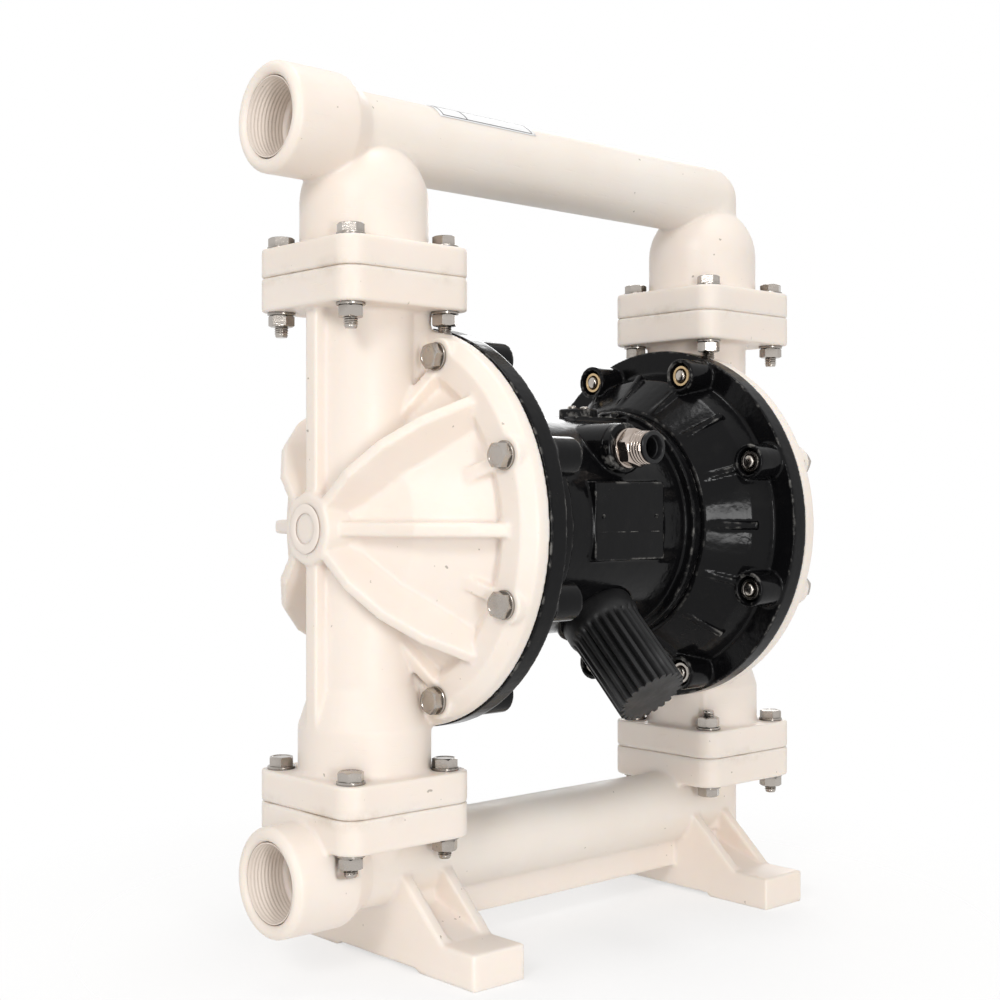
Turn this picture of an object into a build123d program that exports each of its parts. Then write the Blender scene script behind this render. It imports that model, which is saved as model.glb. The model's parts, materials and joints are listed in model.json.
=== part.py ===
"""Air operated diaphragm pump: two fluid covers on a common shaft, a discharge manifold above and a
suction manifold with feet below, black air chambers and a centre body with the air valve between them.

Millimetres, +Z up. The origin is on the floor, under the middle of the overall length and width.
+X runs along the shaft and both manifolds, the threaded ports face -X, the air inlet faces -Y.
"""

from build123d import *
from math import cos, pi, radians, sin, sqrt
import os

os.makedirs("parts", exist_ok=True)

# Overall layout
cover_r = 115.4  # fluid covers, which set the height of the columns
column_x = 146.7  # column axes, each side of the shaft's middle
port_reach = 213.0  # port faces, from the shaft's middle
pipe_drop = 36.7  # suction pipe axis below the lower joint
lower_joint = 91.5  # suction manifold meets the covers
column_down = cover_r + 39.6  # shaft axis above the lower joint
column_up = cover_r + 26.2  # upper joint above the shaft axis
pipe_rise = 81.9  # discharge pipe axis above the upper joint
flange_side = 90.0  # square flanges of all four joints
flange_corner = 12.0

shaft_z = lower_joint + column_down
upper_joint = shaft_z + column_up
suction_z = lower_joint - pipe_drop
discharge_z = upper_joint + pipe_rise
mid_x = (port_reach - column_x - flange_side / 2) / 2  # shaft's middle, from the overall middle

# Flange thicknesses and bolts
manifold_flange_top = 16.6
cover_flange_top = 19.2
cover_flange_low = 18.1
manifold_flange_low = 19.3
flange_pitch = 66.0  # square bolt pattern of each joint

bolt_r = 4.0  # M8 shank
bolt_play = 0.4  # hole clearance on the radius
bolt_sides = 8
head_flats = 13.0
head_high = 5.3
washer_thick = 1.6
nut_high = 6.5
hex_turn = 0.0
stud_out = 4.5  # thread showing past a nut
stud_out_top = 2.0
nut_relief_r = 9.0
nut_relief = 14.0

# Ports and pipes
thread_r = 22.4  # minor radius of the G 1 1/2 port thread
thread_long = 26.0
port_entry_r = 24.8
barrel_r = 30.5
barrel_long = 41.0
shoulder_long = 14.0
barrel_soft = 3.0
pipe_r = 23.5
pipe_bore = 19.5

# Ball valves
ball_r = 22.0
ball_rows = 8
ball_lift = 11.0
ball_rest_gap = 0.3  # ball off its seat at rest, along the normal
cage_r = 27.0  # inside of each ball chamber
cage_bar = 4.0
cage_stop = 5.0  # depth of the cross that stops the ball
dome_r = 36.7
dome_straight = 41.9
seat_bore = 15.0
seat_cone = 4.0

# Fluid covers
split_x = 110.7  # cover meets air chamber
rim_face_x = split_x + 15.3
rim_soft = 7.0
rim_play = 0.5
bolt_circle_r = cover_r - 11.4
bolt_count = 8
cover_boss_r = 11.0
rim_inner_r = bolt_circle_r - 10.0
dome_edge_r = rim_inner_r - 7.0
dome_edge_x = rim_face_x - 5.0
dome_knee_r = 52.0
dome_knee_x = dome_edge_x + 31.0
dome_top_x = dome_knee_x + 16.0
tower_r = 30.0
tower_web = 52.0
tower_web_x = split_x + 7.3
tower_bore = 18.0
lower_tower_r = 37.6
lower_tower_straight = 25.5
lower_tower_taper = 23.0
hub_r = 20.0
hub_x = column_x + 40.3
rib_thick = 8.0
strap_x = hub_x - 3.0  # front of the upright rib down the column
strap_wide = 10.0
diagonal_ridge = 6.0
diagonal_spread = 0.2  # how fast the flanks of a diagonal rib spread towards the dish
ridge_steps = 5
rib_reach = bolt_circle_r - 3.0
gusset_long = 12.0
gusset_high = 11.0
chamber_mouth_r = dome_edge_r + 1.0
chamber_floor_x = split_x + 30.3
chamber_floor_r = 20.0
port_gap = 41.5  # bores stop this far above and below the shaft axis
slot_wide = 24.0
slot_high = 20.0

# Air chambers
body_end_x = 60.0  # chamber meets centre body
flange_back_x = split_x - 12.5
chamber_r = cover_r + 0.6
boss_r = 11.0
boss_end_x = flange_back_x - 20.9
counterbore_r = 8.6
counterbore_deep = 7.0
counterbore_sides = 12
drum_r = 68.0  # centre body
drum_end_r = drum_r + 6.0
dish_join_r = drum_end_r + 2.0
dish_knee_x = flange_back_x - 14.2
dish_knee_r = bolt_circle_r - 8.5
dish_mouth_r = bolt_circle_r - 3.0
dish_floor = 6.0
dish_floor_r = dish_join_r - 6.0
dish_rib = 4.0

# Diaphragms and plates
membrane = 4.0
membrane_r = bolt_circle_r - 6.0
membrane_play = 0.3
membrane_land_r = membrane_r - 7.0
plate_r = 44.0
plate_gap = 0.1
inner_plate_thick = 9.5
outer_plate_edge = 5.0
outer_plate_thick = 12.0
outer_face_x = split_x + plate_gap
plate_back_x = split_x - membrane - plate_gap - inner_plate_thick
stud_end_x = outer_face_x + outer_plate_thick - 4.0

# Shaft and pilot rod
shaft_r = 11.0
stud_r = 8.0
running = 0.05
pilot_r = 4.0
pilot_drop = 30.0
pilot_half = 84.5

# Centre body
drum_end_long = 8.0
inlet_rise = drum_r - 21.0
inlet_boss_r = 15.5
inlet_face_y = drum_r - 7.0
inlet_bore = 9.0
inlet_deep = 22.0
panel_wide = 60.0
panel_high = 47.0
panel_proud = 1.5
panel_rise = 3.5
pad_x = 30.0
pad_y = -8.0
pad_wide = 50.0
pad_deep = 20.0
pad_z = drum_r + 0.5
spool_y = 34.0
spool_rise = 22.0
spool_r = 9.0
spool_neck_r = 6.0
spool_long = 100.0
land_long = 12.0

# Muffler, air inlet fitting and the parts on top
muffler_end_y = drum_r + 18.7
muffler_end_drop = drum_r + 32.4
muffler_r = 22.0
muffler_flute = 1.7
muffler_flutes = 24
muffler_fluted = 54.0
muffler_collar_r = 23.6
muffler_collar = 12.0
muffler_spigot_r = 12.0
muffler_spigot = 14.0
exhaust_boss_r = 26.0
exhaust_boss_long = 30.0

fitting_flange_r = 12.0
fitting_flange = 2.6
fitting_hex = 21.0
fitting_hex_long = 8.0
fitting_neck_r = 10.4
fitting_neck_long = 8.0
fitting_bore = 6.1
fitting_thread = 12.0
collar_r = 8.8
collar_bore = 6.25
collar_long = 11.0
collar_travel = 1.2
collar_play = 0.1
collar_back_y = inlet_face_y + 16.7

lug_wide = 18.0
lug_deep = 16.0
lug_high = 5.0
lug_x = 17.0
plug_x = 45.0
plug_r = 7.0
plug_high = 4.0

# Feet
foot_left_x = 120.3
foot_right_x = 127.6
foot_wide = 37.0
foot_reach = 85.5
pad_high = 20.0
pad_back = 59.0
foot_web = 7.5
foot_top_y = 24.0
foot_top_z = 51.5
foot_relief = 2.0
foot_relief_y = 36.0
channel_y = 20.0
channel_z = 32.0
rib_low_z = 15.5
rib_deep = 16.0
rib_end_x = 100.0

# Work planes through the shaft's middle: plan looks up, front faces -Y, across faces +X
plan = Plane(origin=(mid_x, 0, 0))
front = Plane(origin=(mid_x, 0, shaft_z), x_dir=(1, 0, 0), z_dir=(0, -1, 0))
across = Plane(origin=(mid_x, 0, shaft_z), x_dir=(0, 1, 0), z_dir=(1, 0, 0))
floor_side = Plane(origin=(mid_x, 0, 0), x_dir=(0, 1, 0), z_dir=(1, 0, 0))
suction_front = Plane(origin=(mid_x, 0, suction_z), x_dir=(1, 0, 0), z_dir=(0, -1, 0))
discharge_front = Plane(origin=(mid_x, 0, discharge_z), x_dir=(1, 0, 0), z_dir=(0, -1, 0))
shaft_axis = Axis((mid_x, 0, shaft_z), (1, 0, 0))
muffler_plane = Plane(
    origin=(mid_x, -muffler_end_y, shaft_z - muffler_end_drop), x_dir=(1, 0, 0), z_dir=(0, 1, 1)
)
rising = (Align.CENTER, Align.CENTER, Align.MIN)
hanging = (Align.CENTER, Align.CENTER, Align.MAX)


def save(builder, label):
    """Label a finished piece and write it."""
    builder.part.label = label
    export_step(builder.part, f"parts/{label}.step")


def flange(z, thick, side):
    """A square moulded flange on a column, from z upwards."""
    with BuildSketch(plan.offset(z)) as outline:
        with Locations((side * column_x, 0)):
            RectangleRounded(flange_side, flange_side, flange_corner)
    extrude(outline.sketch, amount=thick)


def flange_holes(z, thick, side):
    """The four bolt holes of a flange."""
    with BuildSketch(plan.offset(z)) as holes:
        with Locations((side * column_x, 0)):
            with GridLocations(flange_pitch, flange_pitch, 2, 2):
                RegularPolygon(bolt_r + bolt_play, bolt_sides)
    extrude(holes.sketch, amount=thick, mode=Mode.SUBTRACT)


def pipe_outline(plane, axis):
    """A port barrel, its shoulder and the pipe behind it, turned about the pipe's axis."""
    with BuildSketch(plane) as profile:
        with BuildLine():
            Polyline(
                (column_x, 0),
                (-port_reach, 0),
                (-port_reach, barrel_r - barrel_soft),
                (-port_reach + barrel_soft, barrel_r),
                (-port_reach + barrel_long, barrel_r),
                (-port_reach + barrel_long + shoulder_long, pipe_r),
                (column_x, pipe_r),
                close=True,
            )
        make_face()
    revolve(profile.sketch, axis=axis)


def pipe_bores(plane, axis):
    """The threaded port and the bore behind it."""
    entry = port_entry_r - thread_r
    with BuildSketch(plane) as profile:
        with BuildLine():
            Polyline(
                (column_x, 0),
                (-port_reach, 0),
                (-port_reach, port_entry_r),
                (-port_reach + entry, thread_r),
                (-port_reach + thread_long, thread_r),
                (-port_reach + thread_long, pipe_bore),
                (column_x, pipe_bore),
                close=True,
            )
        make_face()
    revolve(profile.sketch, axis=axis, mode=Mode.SUBTRACT)


def dome(x, z, radius):
    """A half ball above z on a vertical axis."""
    with BuildSketch(Plane(origin=(x, 0, z), x_dir=(1, 0, 0), z_dir=(0, -1, 0))) as profile:
        with BuildLine():
            Line((0, radius), (0, 0))
            Line((0, 0), (radius, 0))
            CenterArc((0, 0), radius, 0, 90)
        make_face()
    revolve(profile.sketch, axis=Axis((x, 0, z), (0, 0, 1)))


def ball_cage(z, side, neck_r, rise):
    """A ball chamber rising from z, the cross that stops the ball and the neck above it."""
    x = mid_x + side * column_x
    with Locations((x, 0, z)):
        Cylinder(cage_r, cage_high, align=rising, mode=Mode.SUBTRACT)
        Cylinder(neck_r, rise, align=rising, mode=Mode.SUBTRACT)
    with Locations((x, 0, z + ball_top)):
        Box(2 * cage_r, cage_bar, cage_stop, align=rising)
        Box(cage_bar, 2 * cage_r, cage_stop, align=rising)


# A ball at rest stands on the 45 degree cone of its seat, the rest gap away along the normal
contact = sqrt(0.5)
ball_centre = 2 * ball_r * contact - seat_cone - seat_bore + ball_rest_gap / contact
ball_top = ball_centre + ball_r + ball_lift + ball_rest_gap
cage_high = ball_top + cage_stop

# Discharge manifold
with BuildPart() as discharge_manifold:
    pipe_outline(discharge_front, Axis((0, 0, discharge_z), (1, 0, 0)))
    with Locations((mid_x + column_x, 0, discharge_z)):
        Cylinder(pipe_r, pipe_rise, align=hanging)
    dome(mid_x + column_x, discharge_z, pipe_r)
    for side in (-1, 1):
        with Locations((mid_x + side * column_x, 0, upper_joint)):
            Cylinder(dome_r, dome_straight, align=rising)
        dome(mid_x + side * column_x, upper_joint + dome_straight, dome_r)
        flange(upper_joint, manifold_flange_top, side)
    for side in (-1, 1):
        ball_cage(upper_joint, side, pipe_bore, pipe_rise)
        flange_holes(upper_joint, manifold_flange_top, side)
    pipe_bores(discharge_front, Axis((0, 0, discharge_z), (1, 0, 0)))
save(discharge_manifold, "discharge_manifold")

# Suction manifold with its feet and the web between them
with BuildPart() as suction_manifold:
    for foot_x in (-foot_left_x, foot_right_x):
        with BuildSketch(floor_side.offset(foot_x - foot_wide / 2)) as foot:
            with BuildLine():
                Polyline(
                    (foot_relief_y, foot_relief),
                    (foot_relief_y + foot_relief, 0),
                    (foot_reach, 0),
                    (foot_reach, pad_high),
                    (pad_back, pad_high),
                    (foot_top_y, foot_top_z),
                    (0, foot_top_z),
                    (0, foot_relief),
                    close=True,
                )
            make_face()
            mirror(about=Plane.YZ)
        extrude(amount=foot_wide)
        with BuildSketch(floor_side.offset(foot_x - foot_wide / 2 + foot_web)) as channel:
            with BuildLine():
                Polyline(
                    (pad_back, pad_high),
                    (channel_y, channel_z),
                    (foot_top_y / 2, foot_top_z),
                    (pad_back, foot_top_z),
                    close=True,
                )
            make_face()
            mirror(about=Plane.YZ)
        extrude(amount=foot_wide - 2 * foot_web, mode=Mode.SUBTRACT)
    with Locations((mid_x, 0, rib_low_z)):
        Box(foot_left_x + rib_end_x, rib_deep, pipe_drop, align=(Align.CENTER, Align.CENTER, Align.MIN))
    pipe_outline(suction_front, Axis((0, 0, suction_z), (1, 0, 0)))
    with Locations((mid_x + column_x, 0, suction_z)):
        Cylinder(pipe_r, pipe_r * contact, align=hanging)
    for side in (-1, 1):
        with Locations((mid_x + side * column_x, 0, suction_z)):
            Cylinder(pipe_r, pipe_drop, align=rising)
        flange(lower_joint - manifold_flange_low, manifold_flange_low, side)
    for side in (-1, 1):
        with Locations((mid_x + side * column_x, 0, lower_joint)):
            Cylinder(seat_bore, pipe_drop, align=hanging, mode=Mode.SUBTRACT)
            Cone(seat_bore, seat_bore + seat_cone, seat_cone, align=hanging, mode=Mode.SUBTRACT)
        flange_holes(lower_joint - manifold_flange_low, manifold_flange_low, side)
    with Locations((mid_x - column_x - flange_pitch / 2, 0, lower_joint - manifold_flange_low)):
        with GridLocations(1, flange_pitch, 1, 2):
            Cylinder(nut_relief_r, nut_relief, align=hanging, mode=Mode.SUBTRACT)
    pipe_bores(suction_front, Axis((0, 0, suction_z), (1, 0, 0)))
save(suction_manifold, "suction_manifold")


def rib_plane(angle):
    """The plane of a radial rib: local x is the radius, local y the distance outwards along -X."""
    turn = radians(angle)
    return Plane(
        origin=(mid_x, 0, shaft_z), x_dir=(0, cos(turn), sin(turn)), z_dir=(0, -sin(turn), cos(turn))
    )


def radial_rib(angle, points, thick):
    """A flat radial rib, its outline given as radius and distance from the shaft's middle."""
    with BuildSketch(rib_plane(angle)) as outline:
        with BuildLine():
            Polyline(*points, close=True)
        make_face()
    extrude(outline.sketch, amount=thick / 2, both=True)


def ridge_point(part):
    """Radius and distance of a point of the diagonal ridge, a curve from the hub to the rim."""
    start = (hub_r - 2, hub_x - 1)
    pull = (0.68 * bolt_circle_r, hub_x - 1)
    end = (rib_reach, rim_face_x)
    return tuple(
        (1 - part) ** 2 * first + 2 * part * (1 - part) * middle + part**2 * last
        for first, middle, last in zip(start, pull, end)
    )


def drafted_rib(angle):
    """A diagonal rib: a curved ridge in short straight steps, its flat flanks spreading towards the dish."""
    plane = rib_plane(angle)
    ridge = [ridge_point(step / (ridge_steps - 1)) for step in range(ridge_steps)]
    tops = {}
    roots = {}
    for side in (-1, 1):
        tops[side] = [
            plane.from_local_coords(Vector(radius, distance, side * diagonal_ridge / 2))
            for radius, distance in ridge
        ]
        roots[side] = [
            plane.from_local_coords(
                Vector(
                    radius,
                    dome_edge_x,
                    side * (diagonal_ridge / 2 + diagonal_spread * (distance - dome_edge_x)),
                )
            )
            for radius, distance in ridge
        ]
    outlines = [roots[1] + roots[-1][::-1]]
    for end in (0, -1):
        outlines.append([tops[1][end], tops[-1][end], roots[-1][end], roots[1][end]])
    for step in range(ridge_steps - 1):
        outlines.append([tops[1][step], tops[1][step + 1], tops[-1][step + 1], tops[-1][step]])
        for side in (-1, 1):
            outlines.append(
                [tops[side][step], tops[side][step + 1], roots[side][step + 1], roots[side][step]]
            )
    add(Solid(Shell([Face(Wire.make_polygon(points)) for points in outlines])))


def bolt_holes(near, far):
    """The holes for the bolts round a cover, between two distances on the left side."""
    with BuildSketch(across.offset(-near)) as holes:
        with PolarLocations(bolt_circle_r, bolt_count, start_angle=180 / bolt_count):
            RegularPolygon(bolt_r + bolt_play, bolt_sides)
    extrude(holes.sketch, amount=near - far, mode=Mode.SUBTRACT)


# Left fluid cover: a dished disc on a hollow column, stiffened by radial ribs from the hub
with BuildPart() as fluid_cover_left:
    with BuildSketch(front) as dish:
        with BuildLine():
            Polyline(
                (-split_x, 0),
                (-split_x, cover_r),
                (-rim_face_x + rim_soft, cover_r),
                (-rim_face_x, cover_r - rim_soft),
                (-rim_face_x, rim_inner_r),
                (-dome_edge_x, dome_edge_r),
                (-dome_knee_x, dome_knee_r),
                (-dome_top_x, hub_r),
                (-dome_top_x, 0),
                close=True,
            )
        make_face()
    revolve(axis=shaft_axis)
    with BuildSketch(across.offset(-split_x)):
        with PolarLocations(bolt_circle_r, bolt_count, start_angle=180 / bolt_count):
            Circle(cover_boss_r)
    extrude(amount=split_x - rim_face_x)

    # Column: a round tower with a flat web towards the pump, wider below the dish
    with Locations((mid_x - column_x, 0, lower_joint)):
        Cylinder(tower_r, column_down + column_up, align=rising)
        Cylinder(lower_tower_r, cover_flange_low + lower_tower_straight, align=rising)
    with Locations((mid_x - column_x, 0, lower_joint + cover_flange_low + lower_tower_straight)):
        Cone(lower_tower_r, tower_r, lower_tower_taper, align=rising)
    with Locations((mid_x - (column_x + tower_web_x) / 2, 0, lower_joint)):
        Box(column_x - tower_web_x, tower_web, column_down + column_up, align=rising)
    with BuildSketch(across.offset(-split_x)):
        Circle(chamber_r + rim_play)
    extrude(amount=split_x - flange_back_x + rim_play, mode=Mode.SUBTRACT)
    for z, thick in ((lower_joint, cover_flange_low), (upper_joint - cover_flange_top, cover_flange_top)):
        flange(z, thick, -1)

    # Hub and ribs
    with BuildSketch(across.offset(-dome_edge_x)):
        Circle(hub_r)
    extrude(amount=dome_edge_x - hub_x)
    level_rib = (
        (0, dome_edge_x),
        (0, hub_x - 8),
        (hub_r, hub_x - 8),
        (0.65 * rib_reach, rim_face_x + 37),
        (0.87 * rib_reach, rim_face_x + 17),
        (rib_reach, rim_face_x),
        (dome_edge_r, dome_edge_x),
    )
    for angle in (0, 180):
        radial_rib(angle, level_rib, rib_thick)
    for angle in (45, 135, 225, 315):
        drafted_rib(angle)
    steep_rib = (
        (tower_r, dome_edge_x),
        (tower_r, dome_knee_x + 13),
        (dome_edge_r - 11, dome_knee_x - 11),
        (rim_inner_r + 2, rim_face_x + 1),
        (dome_edge_r, dome_edge_x),
    )
    for angle in (67.5, 112.5, 247.5, 292.5):
        radial_rib(angle, steep_rib, rib_thick)
    gusset = (
        (dome_edge_r - gusset_long, dome_edge_x),
        (dome_edge_r - gusset_long, dome_edge_x + gusset_high),
        (rim_inner_r + 1, rim_face_x),
        (rim_inner_r + 1, dome_edge_x),
    )
    for angle in (22.5, 157.5, 202.5, 337.5):
        radial_rib(angle, gusset, rib_thick)
    with Locations((mid_x - column_x, 0, lower_joint)):
        Box(strap_x - column_x, strap_wide, column_down + column_up, align=(Align.MAX, Align.CENTER, Align.MIN))

    # Fluid chamber, ball chamber, bores to and from the chamber and the discharge seat
    with BuildSketch(front) as chamber:
        with BuildLine():
            Polyline(
                (-split_x, 0),
                (-split_x, chamber_mouth_r),
                (-chamber_floor_x, chamber_floor_r),
                (-chamber_floor_x, 0),
                close=True,
            )
        make_face()
    revolve(axis=shaft_axis, mode=Mode.SUBTRACT)
    ball_cage(lower_joint, -1, tower_bore, column_down - port_gap)
    with Locations((mid_x - column_x, 0, upper_joint)):
        Cylinder(seat_bore, column_up - port_gap, align=hanging, mode=Mode.SUBTRACT)
        Cone(seat_bore, seat_bore + seat_cone, seat_cone, align=hanging, mode=Mode.SUBTRACT)
    inwards = (Align.MIN, Align.CENTER, Align.MIN)
    for low in (port_gap, -port_gap - slot_high):
        with Locations((mid_x - column_x, 0, shaft_z + low)):
            Box(column_x - tower_web_x, slot_wide, slot_high, align=inwards, mode=Mode.SUBTRACT)
    bolt_holes(split_x, rim_face_x)
    for z, thick in ((lower_joint, cover_flange_low), (upper_joint - cover_flange_top, cover_flange_top)):
        flange_holes(z, thick, -1)
save(fluid_cover_left, "fluid_cover_left")

# Right fluid cover
with BuildPart() as fluid_cover_right:
    mirror(fluid_cover_left.part, about=across)
save(fluid_cover_right, "fluid_cover_right")

# Left air chamber: a dished casting with a bolting flange, bosses behind its bolts and short ribs
with BuildPart() as air_chamber_left:
    with BuildSketch(front) as shell:
        with BuildLine():
            Polyline(
                (-body_end_x, 0),
                (-body_end_x, dish_join_r),
                (-dish_knee_x, dish_knee_r),
                (-flange_back_x, dish_mouth_r),
                (-flange_back_x, chamber_r),
                (-split_x, chamber_r),
                (-split_x, 0),
                close=True,
            )
        make_face()
    revolve(axis=shaft_axis)
    with BuildSketch(across.offset(-flange_back_x)) as bosses:
        with PolarLocations(bolt_circle_r, bolt_count, start_angle=180 / bolt_count):
            Circle(boss_r)
    extrude(amount=flange_back_x - boss_end_x)
    for step in range(2 * bolt_count):
        turn = 180 / bolt_count * step
        radial_rib(
            turn,
            (
                (dish_floor_r, body_end_x + 2),
                (dish_join_r + 2, body_end_x + 2),
                (dish_knee_r + 4, dish_knee_x - 1),
                (dish_knee_r, dish_knee_x + 4),
                (dish_floor_r, dish_knee_x + 4),
            ),
            dish_rib,
        )
    with BuildSketch(front) as hollow:
        with BuildLine():
            Polyline(
                (-body_end_x - dish_floor, 0),
                (-body_end_x - dish_floor, dish_floor_r),
                (-split_x + membrane, membrane_land_r),
                (-split_x + membrane, membrane_r + membrane_play),
                (-split_x, membrane_r + membrane_play),
                (-split_x, 0),
                close=True,
            )
        make_face()
    revolve(axis=shaft_axis, mode=Mode.SUBTRACT)
    with BuildSketch(across.offset(-boss_end_x)):
        with PolarLocations(bolt_circle_r, bolt_count, start_angle=180 / bolt_count):
            RegularPolygon(counterbore_r, counterbore_sides)
    extrude(amount=-counterbore_deep, mode=Mode.SUBTRACT)
    bolt_holes(boss_end_x + counterbore_deep, split_x)
    with BuildSketch(across.offset(-body_end_x)):
        Circle(shaft_r + running)
        with Locations((0, -pilot_drop)):
            Circle(pilot_r + running)
    extrude(amount=-dish_floor, mode=Mode.SUBTRACT)
save(air_chamber_left, "air_chamber_left")

# Right air chamber
with BuildPart() as air_chamber_right:
    mirror(air_chamber_left.part, about=across)
save(air_chamber_right, "air_chamber_right")

# Diaphragms, clamped between cover and air chamber
for side, label in ((-1, "diaphragm_left"), (1, "diaphragm_right")):
    with BuildPart() as diaphragm:
        with BuildSketch(across.offset(side * (split_x - membrane))):
            Circle(membrane_r)
            Circle(stud_r + membrane_play, mode=Mode.SUBTRACT)
        extrude(amount=side * membrane)
    save(diaphragm, label)

# Shaft, with a thread for the plates at each end
with BuildPart() as shaft:
    with BuildSketch(across.offset(-plate_back_x)):
        Circle(shaft_r)
    extrude(amount=2 * plate_back_x)
    with BuildSketch(across.offset(-stud_end_x)):
        Circle(stud_r)
    extrude(amount=2 * stud_end_x)
save(shaft, "shaft")

# Plates on both sides of each diaphragm
with BuildPart() as inner_plates:
    for side in (-1, 1):
        with BuildSketch(across.offset(side * plate_back_x)):
            Circle(plate_r)
            Circle(stud_r + running, mode=Mode.SUBTRACT)
        extrude(amount=side * inner_plate_thick)
save(inner_plates, "inner_plates")

with BuildPart() as outer_plates:
    for side in (-1, 1):
        with BuildSketch(front):
            with BuildLine():
                Polyline(
                    (side * outer_face_x, 0),
                    (side * outer_face_x, plate_r),
                    (side * (outer_face_x + outer_plate_edge), plate_r),
                    (side * (outer_face_x + outer_plate_thick), hub_r),
                    (side * (outer_face_x + outer_plate_thick), 0),
                    close=True,
                )
            make_face()
        revolve(axis=shaft_axis)
    with BuildSketch(across.offset(-stud_end_x)):
        Circle(stud_r + running)
    extrude(amount=2 * stud_end_x, mode=Mode.SUBTRACT)
save(outer_plates, "outer_plates")

# Pilot rod, pushed by the inner plates at the end of each stroke
with BuildPart() as pilot_rod:
    with BuildSketch(across.offset(-pilot_half)):
        with Locations((0, -pilot_drop)):
            Circle(pilot_r)
    extrude(amount=2 * pilot_half)
save(pilot_rod, "pilot_rod")


def ball_faces(centre):
    """The facets of a ball, every corner on the sphere."""
    faces = []
    for row in range(ball_rows):
        low = radians(180 * row / ball_rows - 90)
        high = radians(180 * (row + 1) / ball_rows - 90)
        for step in range(2 * ball_rows):
            turns = (pi * step / ball_rows, pi * (step + 1) / ball_rows)
            corners = [(low, turns[0]), (low, turns[1]), (high, turns[1]), (high, turns[0])]
            if row == 0:
                corners.pop(1)
            if row == ball_rows - 1:
                corners.pop(3)
            points = [
                Vector(cos(rise) * cos(turn), cos(rise) * sin(turn), sin(rise)) * ball_r + centre
                for rise, turn in corners
            ]
            faces.append(Face(Wire.make_polygon(points)))
    return faces


# Balls of the four check valves, each standing over its seat
for joint_z, kind in ((lower_joint, "suction"), (upper_joint, "discharge")):
    for side, name in ((-1, "left"), (1, "right")):
        with BuildPart() as ball:
            add(Solid(Shell(ball_faces(Vector(mid_x + side * column_x, 0, joint_z + ball_centre)))))
        save(ball, f"{kind}_ball_{name}")

# Centre body: drum, inlet and exhaust bosses, bare panel, the pad on top and the bores inside
with BuildPart() as centre_body:
    with BuildSketch(across.offset(-body_end_x)):
        Circle(drum_r)
    extrude(amount=2 * body_end_x)
    for side in (-1, 1):
        with BuildSketch(across.offset(side * body_end_x)):
            Circle(drum_end_r)
        extrude(amount=-side * drum_end_long)
    with BuildSketch(front.offset(inlet_face_y)):
        with Locations((0, inlet_rise)):
            Circle(inlet_boss_r)
    extrude(amount=-inlet_face_y / 2)
    with BuildSketch(muffler_plane.offset(muffler_fluted + muffler_collar)):
        Circle(exhaust_boss_r)
    extrude(amount=exhaust_boss_long)
    with BuildSketch(muffler_plane):
        Circle(muffler_collar_r + rim_play)
    extrude(amount=muffler_fluted + muffler_collar, mode=Mode.SUBTRACT)
    with BuildSketch(front.offset(drum_r + panel_proud)):
        with Locations((0, panel_rise)):
            Rectangle(panel_wide, panel_high)
    extrude(amount=-drum_r / 2)
    with Locations((mid_x + pad_x, pad_y, shaft_z + pad_z)):
        Box(pad_wide, pad_deep, drum_r / 2, align=hanging)
    with BuildSketch(front.offset(inlet_face_y)):
        with Locations((0, inlet_rise)):
            Circle(inlet_bore)
    extrude(amount=-inlet_deep, mode=Mode.SUBTRACT)
    with BuildSketch(muffler_plane.offset(muffler_fluted + muffler_collar)):
        Circle(muffler_spigot_r + running)
    extrude(amount=muffler_spigot + 1, mode=Mode.SUBTRACT)
    with BuildSketch(across.offset(-body_end_x)):
        Circle(shaft_r + running)
        with Locations((0, -pilot_drop)):
            Circle(pilot_r + running)
        with Locations((spool_y, spool_rise)):
            Circle(spool_r)
    extrude(amount=2 * body_end_x, mode=Mode.SUBTRACT)
save(centre_body, "centre_body")

# Spool of the air valve, three lands on a neck, in its own bore between the air chambers
with BuildPart() as valve_spool:
    with BuildSketch(across.offset(-spool_long / 2)):
        with Locations((spool_y, spool_rise)):
            Circle(spool_neck_r)
    extrude(amount=spool_long)
    for centre in (-1, 0, 1):
        with BuildSketch(across.offset(centre * (spool_long - land_long) / 2 - land_long / 2)):
            with Locations((spool_y, spool_rise)):
                Circle(spool_r - running)
        extrude(amount=land_long)
save(valve_spool, "valve_spool")

# Muffler on the slanted exhaust boss
with BuildPart() as muffler:
    flutes = [
        (
            (muffler_r - muffler_flute * (step % 2)) * cos(pi * step / muffler_flutes),
            (muffler_r - muffler_flute * (step % 2)) * sin(pi * step / muffler_flutes),
        )
        for step in range(2 * muffler_flutes)
    ]
    with BuildSketch(muffler_plane):
        with BuildLine():
            Polyline(*flutes, close=True)
        make_face()
    extrude(amount=muffler_fluted)
    with BuildSketch(muffler_plane.offset(muffler_fluted)):
        Circle(muffler_collar_r)
    extrude(amount=muffler_collar)
    with BuildSketch(muffler_plane.offset(muffler_fluted + muffler_collar)):
        Circle(muffler_spigot_r)
    extrude(amount=muffler_spigot)
save(muffler, "muffler")

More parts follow.
